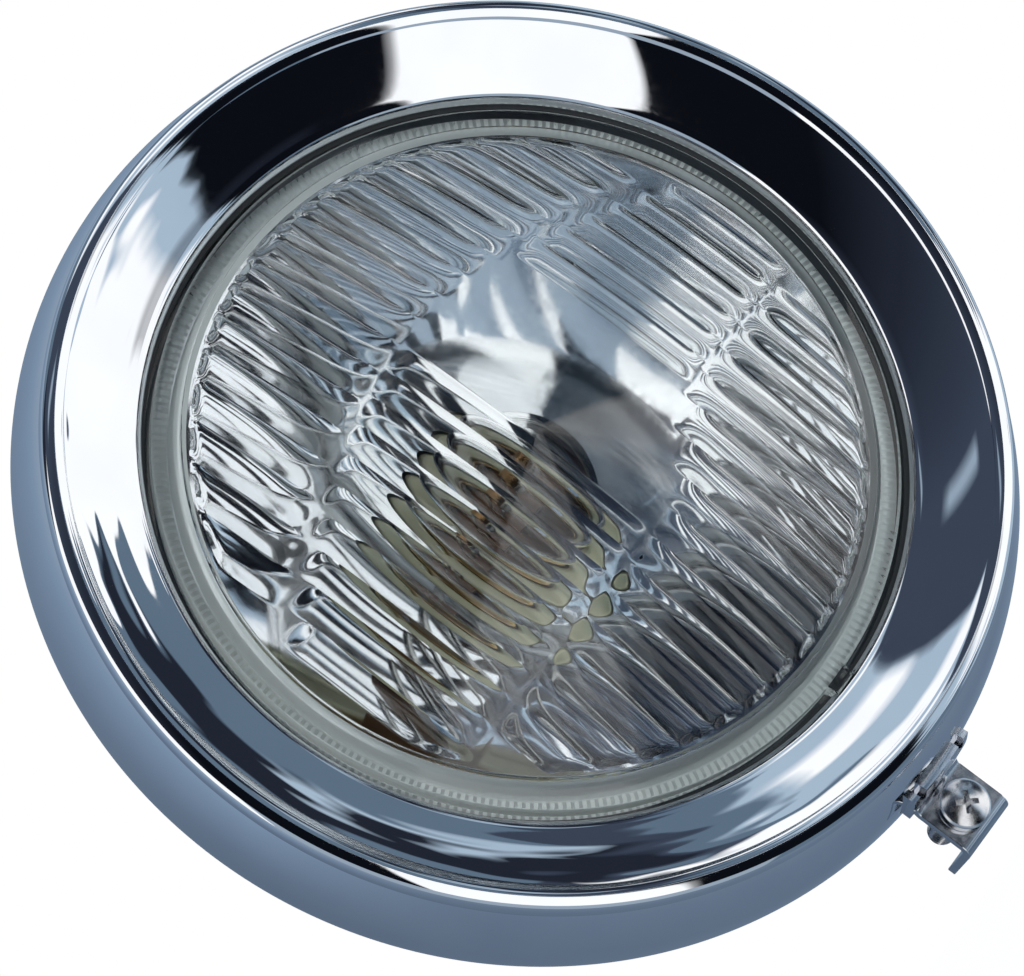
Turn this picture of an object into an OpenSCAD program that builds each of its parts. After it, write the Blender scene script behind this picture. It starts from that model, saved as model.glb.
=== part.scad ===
// Round motorcycle headlight insert: chromed rim, fluted glass, reflector, twin-filament bulb
// and its holder. The light looks along -Y, +Z is up, and the origin is the centre of the rim's
// rear edge, which seats on the lamp shell.

/* [Rim] */
// Radius of the rim at its rear edge
rim_r = 70; // [68:0.5:76]
// Depth from the rear edge to the front ridge
rim_depth = 16; // [15.5:0.5:20]
// Thickness of the rim's sheet
rim_t = 0.9; // [0.7:0.1:1.2]
// Radius of the front ridge
ridge_r = 64.7; // [63:0.1:66]
// Outer radius of the rolled bead at the ridge
bead_r = 1.9; // [1.5:0.1:2.2]
// How far the outer band bulges between the bead and the rear edge
band_bow = 1; // [0.4:0.1:1.6]
// Width of the turned-in hem at the rear edge
hem_w = 3.4; // [2.8:0.1:4]
// Outer radius of the bend into the hem
hem_bend = 1.6; // [1.3:0.1:1.8]
// Radius of the opening round the glass
lip_r = 52.8; // [52:0.1:54]
// How far the inner lip lies behind the ridge
face_drop = 4.2; // [3.6:0.1:4.8]
// How deeply the rim's face is dished
face_dish = 0.6; // [0.2:0.1:1]
// Outer radius of the roll at the inner lip
lip_roll = 1.9; // [1.5:0.1:2.2]
// Length of the inner lip behind its roll
lip_len = 1; // [0.6:0.1:1.6]

/* [Glass] */
// Open gap between the rim's lip and the glass
glass_gap = 1.2; // [0.8:0.1:1.5]
// Width of the clamped flange round the glass
glass_flange_w = 4.9; // [4:0.1:5.5]
// Thickness of that flange
glass_flange_t = 2.5; // [2:0.1:3]
// Height of the glass step that stands inside the lip
glass_step = 2.5; // [2:0.1:3]
// Width of the flat margin round the dome
margin_w = 4.3; // [3.5:0.1:5]
// Height of the rounded shoulder of the dome
shoulder_h = 2.4; // [1.8:0.1:3]
// Width of that shoulder
shoulder_w = 1.2; // [0.8:0.1:1.6]
// Rise of the dome above its shoulder
dome_h = 7.5; // [6:0.5:10]
// Thickness of the domed glass
glass_t = 3.4; // [3:0.1:4]
// Width of the locating key at six o'clock
key_w = 3.9; // [3:0.1:5]
// How far the key stands out of the glass
key_out = 1.6; // [1.4:0.1:1.8]
// Clearance on each side of the key
key_gap = 0.3; // [0.2:0.05:0.5]

/* [Flutes] */
// Pitch of the wide flutes in the upper and lower blocks
flute_pitch = 4.8; // [4.4:0.1:6]
// Radius of a wide flute's section
flute_r = 2.3; // [2:0.1:2.4]
// Depth of the wide flutes
flute_depth = 0.95; // [0.6:0.05:1.2]
// Pitch of the finer flutes in the middle block
fine_pitch = 4.2; // [3.9:0.1:4.6]
// Radius of a finer flute's section
fine_r = 2.05; // [1.8:0.05:2.2]
// Depth of the finer flutes
fine_depth = 0.7; // [0.4:0.05:0.9]
// Height of the upper block's lower end above the centre
upper_z = 22; // [18:1:26]
// Radius of the arch along that end
upper_arch = 75; // [60:5:120]
// Height of the lower block's upper end below the centre
lower_z = 20.5; // [16:0.5:24]
// Rise of the lower block's top on one side
kick_rise = 8.5; // [0:0.5:10]
// Place across the glass where that rise starts
kick_from = 3; // [0:1:8]
// Place across the glass where it ends
kick_to = 18; // [12:1:24]
// Place across the glass where the plain field of the middle block starts
plain_from = -4; // [-12:1:0]
// Place across the glass where the plain field ends
plain_to = 19; // [10:1:24]
// Plain glass between two blocks of flutes
block_gap = 1; // [0.5:0.1:2]

/* [Gasket] */
// Thickness of the rubber in front of the glass flange and round it
gasket_t = 0.8; // [0.6:0.1:1]
// Thickness of the rubber behind the glass flange
gasket_back_t = 1.2; // [0.8:0.1:1.6]
// Width of the rubber behind the glass flange
gasket_back_w = 6.5; // [5:0.1:7]

/* [Reflector] */
// Focal length of the reflector
focal = 19; // [18:0.5:21]
// Thickness of the reflector's sheet
refl_t = 0.7; // [0.5:0.1:0.9]
// Width of the flange round the dish
refl_flange_w = 7; // [6.5:0.1:7.4]
// Radius of the neck that takes the bulb holder
neck_r = 17; // [16.5:0.1:18.5]
// Length of the neck
neck_l = 8; // [6:0.5:10]
// Width of the lip round the end of the neck
neck_lip = 2.4; // [2:0.1:3]

/* [Bulb] */
// Radius of the bulb's globe
globe_r = 12.5; // [11.5:0.1:13.5]
// Thickness of the bulb's glass
bulb_t = 0.8; // [0.6:0.1:1]
// Radius of the bulb's metal cap
cap_r = 10; // [9.5:0.1:10.5]
// Length of that cap
cap_l = 18; // [16:0.5:20]
// Thickness of the cap's sheet
cap_t = 0.5; // [0.4:0.1:0.7]
// Radius of the bayonet pins
pin_r = 1; // [0.8:0.1:1.2]
// How far a bayonet pin stands out of the cap
pin_out = 2; // [1.6:0.1:2.4]
// Radius of the cap's two contacts
contact_r = 1.6; // [1.3:0.1:1.9]
// Distance of each contact from the bulb's axis
contact_x = 3.6; // [3.2:0.1:4]
// Half the length of a filament's coil
filament_l = 2.2; // [1.8:0.1:2.6]

/* [Holder] */
// Clearance between the cap and the holder's sleeve
sleeve_gap = 0.4; // [0.3:0.05:0.6]
// Thickness of the holder's sheet
holder_t = 0.8; // [0.6:0.1:1]
// Clearance between the holder and the reflector's neck
neck_gap = 0.2; // [0.1:0.05:0.3]
// Thickness of the insulating contact carrier
carrier_t = 4.5; // [4:0.5:6]
// Radius of a contact plunger's stem
plunger_r = 1.5; // [1.2:0.1:1.6]
// Compressed length of a contact spring
spring_l = 4.4; // [4:0.2:6]
// Radius of the contact springs' wire
spring_wire = 0.25; // [0.2:0.05:0.3]
// Width of the spade terminals
blade_w = 6.3; // [4.8:0.1:6.3]
// Thickness of the spade terminals
blade_t = 0.8; // [0.6:0.1:1]
// Length of the spade terminals
blade_l = 9; // [8:0.5:11]

/* [Spring clips] */
// Number of clips that hold the reflector in the rim
clip_n = 6; // [4:1:8]
// Width of such a clip
clip_w = 8; // [6:0.5:10]
// Thickness of the clips' spring strip
clip_t = 0.6; // [0.4:0.05:0.8]

/* [Fixing tab and hook] */
// Width of the tab's plate
tab_w = 9.8; // [9:0.1:12]
// How far the tab stands out beyond the rim's rear edge
tab_reach = 10.6; // [10:0.1:13]
// Thickness of the tab's sheet
tab_t = 1.2; // [1:0.1:1.5]
// Length of the tab's end flange
tab_flange = 9; // [6:0.5:12]
// Width of the tab's foot on the rim
foot_w = 13; // [12.5:0.5:16]
// Length of the foot along the rim
foot_l = 5.5; // [4:0.5:7]
// Radius of the fixing screw's shank
screw_r = 2; // [1.5:0.5:2]
// Clearance of the screw in the tab's hole
screw_gap = 0.25; // [0.2:0.05:0.4]
// Distance of the screw from the rim's rear edge
screw_reach = 5.7; // [5.5:0.1:6.2]
// Radius of the screw's head
head_r = 3.6; // [3.2:0.1:3.8]
// Height of the screw's head
head_h = 2.4; // [2:0.1:2.8]
// Length of the screw's shank behind the tab
screw_l = 12; // [9:1:16]
// Width of the hook at twelve o'clock
hook_w = 14; // [10:1:18]
// Thickness of the hook's sheet
hook_t = 1; // [0.8:0.1:1.2]
// How far the hook reaches behind the rim
hook_out = 4.5; // [3:0.5:6]

/* [Hidden] */
$fn = 96;
round_fn = 240;
far = 200;

// Rim: places of its centre line in a half section, as [radius, y]
ridge_y = -rim_depth;
rear_mid_r = rim_r - rim_t / 2;
hem_mid_bend = hem_bend - rim_t / 2;
band_rear = [rear_mid_r, -hem_bend];
bead_c = [ridge_r, ridge_y + bead_r];
bead_mid = bead_r - rim_t / 2;
bead_from = 50;
bead_to = -140;
band_front = bead_c + bead_mid * [cos(bead_from), sin(bead_from)];
lip_mid = lip_roll - rim_t / 2;
lip_c = [lip_r + lip_roll, ridge_y + face_drop + lip_roll];
lip_end_y = lip_c.y + lip_len;
rim_path = concat(
    [[rim_r - hem_w, -rim_t / 2]],
    arc([rim_r - hem_bend, -hem_bend], hem_mid_bend, 90, 0, 5),
    tail(bow(band_rear, band_front, band_bow, 10)),
    tail(arc(bead_c, bead_mid, bead_from, bead_to, 14)),
    tail(bow(bead_c + bead_mid * [cos(bead_to), sin(bead_to)], lip_c - [0, lip_mid], -face_dish, 10)),
    tail(arc(lip_c, lip_mid, -90, -180, 7)),
    [[lip_r + rim_t / 2, lip_end_y]]);

// Glass: heights along y and radii
glass_front_y = lip_end_y + gasket_t;
glass_back_y = glass_front_y + glass_flange_t;
glass_wall_r = lip_r - glass_gap;
glass_flange_r = glass_wall_r + glass_flange_w;
margin_y = glass_front_y - glass_step;
shoulder_r = glass_wall_r - margin_w;
dome_r = shoulder_r - shoulder_w;
dome_y = margin_y - shoulder_h;
dome_ball = (dome_r * dome_r + dome_h * dome_h) / (2 * dome_h);
dome_c = dome_y - dome_h + dome_ball;
hollow_ball = dome_ball - glass_t;
hollow_r = dome_r - 1.4;
fluted_r = hollow_r - 0.8;
edge_round = 0.4;

// Gasket
gasket_r = glass_flange_r + gasket_t;
gasket_lap = 0.4;
refl_front_y = glass_back_y + gasket_back_t;

// Reflector: a paraboloid about the y axis
refl_flange_r = gasket_r - 0.1;
dish_r = refl_flange_r - refl_flange_w;
refl_mid_y = refl_front_y + refl_t / 2;
refl_back_y = refl_front_y + refl_t;
flange_bend = 0.9;
apex_y = refl_mid_y + flange_bend + dish_r * dish_r / (4 * focal);
focus_y = apex_y - focal;
neck_y = apex_y - neck_r * neck_r / (4 * focal);
neck_end_y = neck_y + neck_l;
refl_path = concat(
    [[refl_flange_r, refl_mid_y]],
    arc([dish_r + flange_bend, refl_mid_y + flange_bend], flange_bend, -90, -180, 4),
    [for (i = [1:22]) dish_at(dish_r + (neck_r - dish_r) * i / 22)],
    [[neck_r, neck_end_y - flange_bend]],
    tail(arc([neck_r + flange_bend, neck_end_y - flange_bend], flange_bend, 180, 90, 4)),
    [[neck_r + neck_lip, neck_end_y]]);
neck_back_y = neck_end_y + refl_t / 2;

// Holder and bulb, from the neck's end backwards
sleeve_in = cap_r + sleeve_gap;
sleeve_mid = sleeve_in + holder_t / 2;
dish_in = neck_r - refl_t / 2 - neck_gap - holder_t / 2;
holder_mid_y = neck_back_y + holder_t / 2;
holder_face_y = neck_y + 1.5;
cap_y = holder_face_y - 0.5;
cap_end_y = cap_y + cap_l;
pin_y = cap_y + 0.6 * cap_l;
insulator_r = 7.2;
insulator_t = 1.6;
contact_y = cap_end_y + insulator_t / 2;
contact_h = 0.8;
plunger_head_r = 2.4;
plunger_head_h = 1.2;
plunger_y = contact_y + contact_h;
carrier_y = plunger_y + plunger_head_h + spring_l;
carrier_end_y = carrier_y + carrier_t;
carrier_r = sleeve_in - 0.1;
crimp_r = carrier_r - 1.4;
sleeve_end_y = carrier_end_y + holder_t;
blade_foot = 5.2;
blade_root = 7;
holder_path = concat(
    [[neck_r + neck_lip, holder_mid_y]],
    arc([dish_in + 1, holder_mid_y - 1], 1, 90, 180, 4),
    [[dish_in, holder_face_y + 1]],
    tail(arc([dish_in - 1, holder_face_y + 1], 1, 0, -90, 4)),
    [[sleeve_mid + 0.9, holder_face_y]],
    tail(arc([sleeve_mid + 0.9, holder_face_y + 0.9], 0.9, -90, -180, 4)),
    [[sleeve_mid, carrier_end_y + holder_t / 2], [crimp_r, carrier_end_y + holder_t / 2]]);

// Bulb's inside
globe_c = focus_y - 1;
bulb_neck_r = cap_r - cap_t;
bulb_end_y = cap_y + 4;
stem_y = focus_y + 11;
pinch_h = 5.2;
pinch_l = 4;
lead_r = 0.35;
lead_x = filament_l + 0.9;
dip_y = focus_y - 3.4;
dip_z = 2.4;
coil_r = 0.55;
coil_wire = 0.16;
shield_r = 2.1;
shield_t = 0.3;

// Tab, foot and hook follow the rim's band
tab_out = rim_r + tab_reach;
screw_at = rim_r + screw_reach;
tab_bend = 1.4;
foot_path = side_path(rim_t / 2 + tab_t / 2, foot_l);
hook_path = side_path(-rim_t / 2 - hook_t / 2, foot_l + 1);
tab_y = foot_path[0].y + tab_bend;
waist_r = screw_r - 0.4;
washer_t = 0.6;
thread_y = tab_y + tab_t / 2 + washer_t + 1;
corner_w = 1.4;
corner_l = 2.4;
hook_lip = 4;

// Points of an arc about c, from angle a to angle b in n steps
function arc(c, r, a, b, n) = [for (i = [0:n]) let (t = a + (b - a) * i / n) c + r * [cos(t), sin(t)]];

// Points of a bow from a to b that bulges by s to the left of the way from a to b
function bow(a, b, s, n) =
    let (half = norm(b - a) / 2, d = (b - a) / (2 * half), side = [-d.y, d.x],
        ball = (half * half + s * s) / (2 * abs(s)), open = asin(half / ball))
    [for (i = [0:n]) let (t = open * (2 * i / n - 1))
        (a + b) / 2 + d * ball * sin(t) + side * sign(s) * (ball * cos(t) - ball + abs(s))];

// A list without its first point
function tail(list) = [for (i = [1:len(list) - 1]) list[i]];

// Unit normal to the left of the step from a to b
function left(a, b) = let (d = (b - a) / norm(b - a)) [-d.y, d.x];

// The mitred offset direction at point i of a path
function miter(p, i) =
    i == 0 ? left(p[0], p[1]) :
    i == len(p) - 1 ? left(p[i - 1], p[i]) :
    let (u = left(p[i - 1], p[i]), v = left(p[i], p[i + 1])) (u + v) / (1 + u * v);

// A path moved sideways by s
function beside(p, s) = [for (i = [0:len(p) - 1]) p[i] + s * miter(p, i)];

// The outline of a sheet of thickness t that is bent along a path
function sheet(p, t) =
    let (n = len(p)) concat(beside(p, t / 2), [for (i = [n - 1:-1:0]) beside(p, -t / 2)[i]]);

// A point of the reflector's middle surface
function dish_at(r) = [r, apex_y - r * r / (4 * focal)];

// Where a strip of thickness s to one side follows the rim's band for a length l
function side_path(s, l) = [for (p = beside(bow(band_rear, band_front, band_bow, 10), s))
    if (p.y > -hem_bend - l) p];

// Turns a half section about the y axis
module turned(fn = round_fn) {
    rotate([-90, 0, 0]) rotate_extrude($fn = fn) children();
}

// A cylinder along y, from y = a to y = b
module rod_y(r, a, b, fn = $fn) {
    translate([0, a, 0]) rotate([-90, 0, 0]) cylinder(r = r, h = b - a, $fn = fn);
}

// A half section given width w, centred on the plane z = 0
module strip(w) {
    translate([0, 0, -w / 2]) linear_extrude(w) children();
}

// Turns what points along +X to six o'clock or to twelve o'clock
module at_bottom() { rotate([0, 90, 0]) children(); }
module at_top() { rotate([0, -90, 0]) children(); }

// A coiled wire along z with flat-cut ends, as one swept tube
module coil(r, wire, length, turns, step = 12, sides = 6) {
    n = turns * step;
    ring = [for (i = [0:n], k = [0:sides - 1])
        let (a = 360 * i / step, b = 360 * k / sides, q = r + wire * cos(b))
        [q * cos(a), q * sin(a), length * i / n + wire * sin(b)]];
    walls = [for (i = [0:n - 1], k = [0:sides - 1]) let (m = (k + 1) % sides)
        [i * sides + k, (i + 1) * sides + k, (i + 1) * sides + m, i * sides + m]];
    polyhedron(ring, concat(walls, [[for (k = [0:sides - 1]) k],
        [for (k = [sides - 1:-1:0]) n * sides + k]]), convexity = 8);
}

module rim() {
    color("lightsteelblue") difference() {
        turned() polygon(sheet(rim_path, rim_t));
        at_bottom() translate([lip_r - 1, ridge_y, -key_w / 2 - key_gap])
            cube([1 + key_out - glass_gap + key_gap, rim_depth + lip_end_y + 1, key_w + 2 * key_gap]);
        at_top() translate([rim_r - hem_w - 1, -hem_bend, -hook_w / 2 - 0.3])
            cube([1 + hem_w - rim_t, hem_bend + 1, hook_w + 0.6]);
    }
}

// The tab's foot lies on the band, its plate stands out and its end turns to the rear
module rim_tab() {
    color("silver") at_bottom() difference() {
        union() {
            intersection() {
                turned() polygon(sheet(foot_path, tab_t));
                translate([rim_r - rim_depth, -far, -foot_w / 2]) cube([far, 2 * far, foot_w]);
            }
            strip(tab_w) polygon(sheet(tab_path(), tab_t));
        }
        for (side = [-1, 1])
            translate([0, foot_path[len(foot_path) - 1].y - 1, side * tab_w / 2 - side * 0.3 - corner_w / 2])
                cube([tab_out, 1 + corner_l, corner_w]);
        translate([screw_at, 0, 0]) rod_y(screw_r + screw_gap, -5, 5);
    }
}

function tab_path() =
    let (root = foot_path[0], out = tab_out - tab_t / 2)
    concat([root], tail(arc([root.x + tab_bend, root.y], tab_bend, 180, 90, 4)),
        arc([out - 1.2, tab_y + 1.2], 1.2, -90, 0, 4), [[out, tab_y + tab_flange]]);

module rim_screw() {
    plate_y = tab_y - tab_t / 2;
    color("gainsboro") at_bottom() translate([screw_at, 0, 0]) difference() {
        union() {
            translate([0, plate_y, 0]) rotate([90, 0, 0]) intersection() {
                cylinder(r = head_r, h = head_h);
                translate([0, 0, head_h - 2 * head_r]) sphere(r = 2 * head_r);
            }
            rod_y(waist_r, plate_y - 0.5, thread_y + 1);
            rod_y(screw_r, thread_y, plate_y + tab_t + screw_l);
        }
        for (a = [45, 135]) translate([0, plate_y - head_h, 0]) rotate([0, a, 0])
            cube([head_r + 0.4, head_h + 0.4, head_r / 4], center = true);
    }
}

// Pressed washer on the screw's waist, which keeps the screw in the tab
module screw_washer() {
    back_y = tab_y + tab_t / 2;
    color("darkgray") at_bottom() translate([screw_at, 0, 0]) difference() {
        rod_y(screw_r + 1.05, back_y, back_y + washer_t);
        rod_y(waist_r, back_y - 1, back_y + 2);
    }
}

module top_hook() {
    n = len(hook_path);
    root = hook_path[0];
    color("silver") at_top() intersection() {
        turned() polygon(sheet(concat(
            [for (i = [n - 1:-1:0]) hook_path[i]],
            [[root.x, hook_out - 1]],
            tail(arc([root.x - 1, hook_out - 1], 1, 0, 90, 4)),
            [[root.x - hook_lip, hook_out]]), hook_t));
        translate([rim_r - rim_depth, -far, -hook_w / 2]) cube([far, 2 * far, hook_w]);
    }
}

// Glass: a clamped flange, a step inside the rim's lip, a flat margin and a fluted dome
module lens() {
    color("powderblue", 0.5) difference() {
        union() {
            turned() polygon(concat(
                [[0, dome_y], [dome_r, dome_y]],
                tail(bow([dome_r, dome_y], [shoulder_r, margin_y], 0.5, 5)),
                [[glass_wall_r - edge_round, margin_y], [glass_wall_r, margin_y + edge_round],
                    [glass_wall_r, glass_front_y], [glass_flange_r, glass_front_y],
                    [glass_flange_r, glass_back_y], [0, glass_back_y]]));
            intersection() {
                translate([0, dome_c, 0]) sphere(r = dome_ball, $fn = round_fn);
                rod_y(dome_r, dome_y - dome_h - 1, dome_y + 0.01, round_fn);
            }
            at_bottom() translate([glass_wall_r - 1, margin_y, -key_w / 2])
                cube([1 + key_out, glass_step + 0.5, key_w]);
        }
        intersection() {
            translate([0, dome_c, 0]) sphere(r = hollow_ball, $fn = round_fn);
            turned() polygon([[0, -far], [hollow_r, -far], [hollow_r, margin_y + 1],
                [hollow_r + 2.6, glass_back_y], [hollow_r + 2.6, glass_back_y + 1],
                [0, glass_back_y + 1]]);
        }
        flutes();
    }
}

// One flute is a ring segment about the sphere's centre, from height z0 to height z1
module flute(x, z0, z1, r, depth) {
    ball = hollow_ball - r + depth;
    swing = asin(x / ball);
    reach = ball * cos(swing);
    low = asin(z0 / reach);
    high = asin(z1 / reach);
    translate([x, dome_c, 0]) rotate([0, 90, 0]) rotate([0, 0, -90 - high])
        rotate_extrude(angle = high - low, $fn = 4 * round_fn) translate([reach, 0])
            circle(r = r, $fn = 32);
}

// Where the upper block ends below and the lower block above, at a place x across the glass
function head(x) = upper_z - x * x / (2 * upper_arch);
function kick(x) = -lower_z + kick_rise * min(1, max(0, (x - kick_from) / (kick_to - kick_from)));

module flutes() {
    wide_n = floor((fluted_r - flute_r) / flute_pitch);
    for (i = [-wide_n:wide_n]) {
        x = i * flute_pitch;
        edge = sqrt(fluted_r * fluted_r - pow(abs(x) + flute_r, 2));
        if (edge > head(x) + 2) flute(x, head(x), edge, flute_r, flute_depth);
        if (edge > 2 - kick(x)) flute(x, -edge, kick(x), flute_r, flute_depth);
    }
    fine_n = floor((fluted_r - fine_r) / fine_pitch);
    for (i = [-fine_n:fine_n]) {
        x = i * fine_pitch;
        edge = sqrt(fluted_r * fluted_r - pow(abs(x) + fine_r, 2));
        top = min(edge, head(abs(x) + fine_r) - block_gap);
        low = max(-edge, kick(x + fine_r) + block_gap);
        plain = x > plain_from && x < plain_to;
        if (top > low + 2 && !plain) flute(x, low, top, fine_r, fine_depth);
    }
}

// Rubber channel round the glass flange, notched for the key
module lens_gasket() {
    color("dimgray") difference() {
        turned() polygon([[lip_r - gasket_lap, lip_end_y], [gasket_r, lip_end_y],
            [gasket_r, refl_front_y], [gasket_r - gasket_back_w, refl_front_y],
            [gasket_r - gasket_back_w, glass_back_y], [glass_flange_r, glass_back_y],
            [glass_flange_r, glass_front_y], [lip_r - gasket_lap, glass_front_y]]);
        at_bottom() translate([lip_r - 1, lip_end_y - 1, -key_w / 2 - key_gap])
            cube([1 + key_out - glass_gap + key_gap, gasket_t + 1, key_w + 2 * key_gap]);
    }
}

module reflector() {
    color("whitesmoke") turned() polygon(sheet(refl_path, refl_t));
}

// Spring strips from the rim's hem to the back of the reflector's flange
module retaining_clips() {
    hem_y = -rim_t - clip_t / 2;
    press_y = refl_back_y + clip_t / 2;
    foot = side_path(-rim_t / 2 - clip_t / 2 - 0.3, foot_l);
    n = len(foot);
    arm = rim_r - hem_w - 1;
    path = concat([for (i = [n - 1:-1:0]) foot[i]],
        [[rim_r - hem_bend - clip_t, hem_y], [arm, hem_y],
            [arm + 0.5 * (refl_flange_r - arm), hem_y - 0.4],
            [refl_flange_r - 0.6, press_y], [refl_flange_r - 0.5 * refl_flange_w, press_y],
            [refl_flange_r - 0.66 * refl_flange_w, press_y + 0.9]]);
    color("slategray") for (i = [0:clip_n - 1])
        rotate([0, 360 * (i + 0.5) / clip_n + 90, 0]) strip(clip_w) polygon(sheet(path, clip_t));
}

// Pressed holder: a dish in the reflector's neck and a sleeve with two bayonet slots
module bulb_holder() {
    slot = pin_r + 0.3;
    half_angle = asin(slot / sleeve_mid);
    twist = 24;
    color("darkkhaki") difference() {
        turned($fn) polygon(sheet(holder_path, holder_t));
        for (half = [0, 180]) rotate([0, half, 0]) {
            rotate([0, twist, 0]) translate([cap_r - 1, holder_face_y - 2, -slot])
                cube([pin_out + 1.8, pin_y - holder_face_y + 2, 2 * slot]);
            rotate([-90, 0, 0]) rotate([0, 0, -twist - half_angle])
                rotate_extrude(angle = twist + 2 * half_angle)
                    translate([cap_r - 1, pin_y - slot]) square([pin_out + 1.8, 2 * slot]);
        }
    }
}

// Sprung U clips that hold the holder's flange on the neck's lip
module holder_clips() {
    grip = neck_r + neck_lip;
    front = neck_end_y - refl_t / 2 - clip_t / 2;
    back = holder_mid_y + holder_t / 2 + clip_t / 2;
    path = [[grip - 1.3, front], [grip + 0.5, front], [grip + 0.9, front + 0.4],
        [grip + 0.9, back - 0.4], [grip + 0.5, back], [grip - 4.6, back]];
    color("slategray") for (a = [0, 120, 240])
        rotate([0, a - 90, 0]) strip(clip_w - 2) polygon(sheet(path, clip_t));
}

// Earth terminal, its curved root on the holder's sleeve
module earth_blade() {
    root_r = sleeve_mid + holder_t / 2;
    color("gold") at_bottom() {
        intersection() {
            turned($fn) translate([root_r, sleeve_end_y - blade_root]) square([blade_t, blade_root + 1]);
            translate([0, sleeve_end_y - far, -blade_w / 2]) cube([far, 2 * far, blade_w]);
        }
        translate([root_r, sleeve_end_y, -blade_w / 2]) cube([blade_t, blade_l, blade_w]);
    }
}

// Half section of the bulb's outer glass, moved inwards by t
function globe(t) = concat(
    [[bulb_neck_r - t, bulb_end_y], [bulb_neck_r - t, cap_y - 1]],
    [for (i = [1:8]) [bulb_neck_r + (globe_r - bulb_neck_r) * (1 - cos(22.5 * i)) / 2 - t,
        cap_y - 1 + (globe_c - cap_y + 1) * i / 8]],
    tail(arc([0, globe_c], globe_r - t, 0, -90, 12)));

module bulb_glass() {
    inner = globe(bulb_t);
    color("azure", 0.4) turned($fn) polygon(concat(globe(0),
        [for (i = [len(inner) - 1:-1:0]) inner[i]]));
}

// Glass stem with its flat pinch, inside the bulb's neck
module bulb_stem() {
    color("lightcyan") {
        turned($fn) polygon([[0, bulb_end_y], [bulb_neck_r - bulb_t, bulb_end_y],
            [bulb_neck_r - bulb_t, bulb_end_y - 1], [3.4, bulb_end_y - 4], [2.6, stem_y + 3],
            [0, stem_y + 3]]);
        translate([-lead_x - 0.9, stem_y, -pinch_h / 2])
            cube([2 * lead_x + 1.8, pinch_l, pinch_h]);
    }
}

// Three supports of the two filaments: a forked common one and one for each filament
module lead_wires() {
    elbow_y = stem_y - 1.5;
    entry_z = 0.95;
    color("silver") {
        for (side = [-1, 1]) translate([side * lead_x, 0, 0]) rod_y(lead_r, focus_y - 0.3, stem_y, 16);
        for (side = [-1, 1]) translate([side * lead_x, 0, dip_z]) rod_y(lead_r, dip_y - 0.3, elbow_y, 16);
        translate([-lead_x, elbow_y, 0]) cylinder(r = lead_r, h = dip_z, $fn = 16);
        translate([lead_x, elbow_y, entry_z]) cylinder(r = lead_r, h = dip_z - entry_z, $fn = 16);
        translate([lead_x, 0, entry_z]) rod_y(lead_r, elbow_y, stem_y, 16);
    }
}

// A closely wound filament with a straight tail to each of its two supports, at height z
module filament(y, z) {
    turns = 8;
    pitch = 2 * filament_l / turns;
    color("dimgray") translate([0, y, z]) rotate([0, 90, 0]) {
        translate([0, 0, -filament_l]) rotate_extrude($fn = 32) {
            square([coil_r, 2 * filament_l]);
            for (i = [0:turns - 1]) translate([coil_r, (i + 0.5) * pitch])
                circle(r = coil_wire, $fn = 16);
        }
        for (side = [0, 1]) mirror([0, 0, side])
            cylinder(r = coil_wire, h = lead_x - lead_r, $fn = 16);
    }
}

module main_filament() { filament(focus_y, 0); }

module dip_filament() { filament(dip_y, dip_z); }

// Small screen under the dip filament, carried by its supports
module dip_shield() {
    color("peru") translate([0, dip_y, dip_z]) rotate([0, 90, 0])
        translate([0, 0, -lead_x + lead_r]) difference() {
            cylinder(r = shield_r, h = 2 * (lead_x - lead_r), $fn = 48);
            translate([0, 0, -1]) cylinder(r = shield_r - shield_t, h = 2 * lead_x + 2, $fn = 48);
            translate([-far - 0.6, -far / 2, -1]) cube([far, far, 2 * lead_x + 2]);
        }
}

// Brass cap with its two bayonet pins
module bulb_cap() {
    path = [[cap_r - cap_t / 2, cap_y], [cap_r - cap_t / 2, cap_end_y - 1.4],
        [cap_r - cap_t / 2 - 1.4, cap_end_y - cap_t / 2], [insulator_r - 0.6, cap_end_y - cap_t / 2]];
    color("goldenrod") {
        turned($fn) polygon(sheet(path, cap_t));
        for (side = [0, 180]) rotate([0, side, 0]) translate([cap_r - cap_t, pin_y, 0])
            rotate([0, 90, 0]) cylinder(r = pin_r, h = cap_t + pin_out, $fn = 32);
    }
}

module cap_insulator() {
    color("black") difference() {
        turned($fn) polygon([[0, cap_end_y - insulator_t], [insulator_r, cap_end_y - insulator_t],
            [insulator_r, cap_end_y - cap_t], [insulator_r - 0.6, cap_end_y - cap_t],
            [insulator_r - 0.6, cap_end_y], [insulator_r - 1.4, contact_y], [0, contact_y]]);
        for (side = [-1, 1]) translate([side * contact_x, 0, 0])
            rod_y(contact_r - 0.4, contact_y - 1, contact_y + 1);
    }
}

module cap_contacts() {
    color("gray") for (side = [-1, 1]) translate([side * contact_x, 0, 0]) {
        rod_y(contact_r - 0.4, contact_y - 1, contact_y);
        rod_y(contact_r, contact_y, contact_y + contact_h);
    }
}

// Insulating disc that carries the contacts, held by the sleeve's crimped end
module contact_carrier() {
    color("saddlebrown") difference() {
        rod_y(carrier_r, carrier_y, carrier_end_y);
        for (side = [-1, 1]) translate([side * contact_x, 0, 0])
            rod_y(plunger_r + 0.1, carrier_y - 1, carrier_end_y + 1);
    }
}

module contact_plungers() {
    color("khaki") for (side = [-1, 1]) translate([side * contact_x, 0, 0]) {
        rod_y(plunger_head_r, plunger_y, plunger_y + plunger_head_h);
        rod_y(plunger_r, plunger_y, carrier_end_y + 2);
    }
}

module contact_springs() {
    color("silver") for (side = [-1, 1])
        translate([side * contact_x, plunger_y + plunger_head_h + spring_wire, 0]) rotate([-90, 0, 0])
            coil(plunger_r + spring_wire + 0.15, spring_wire, spring_l - 2 * spring_wire, 4);
}

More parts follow.
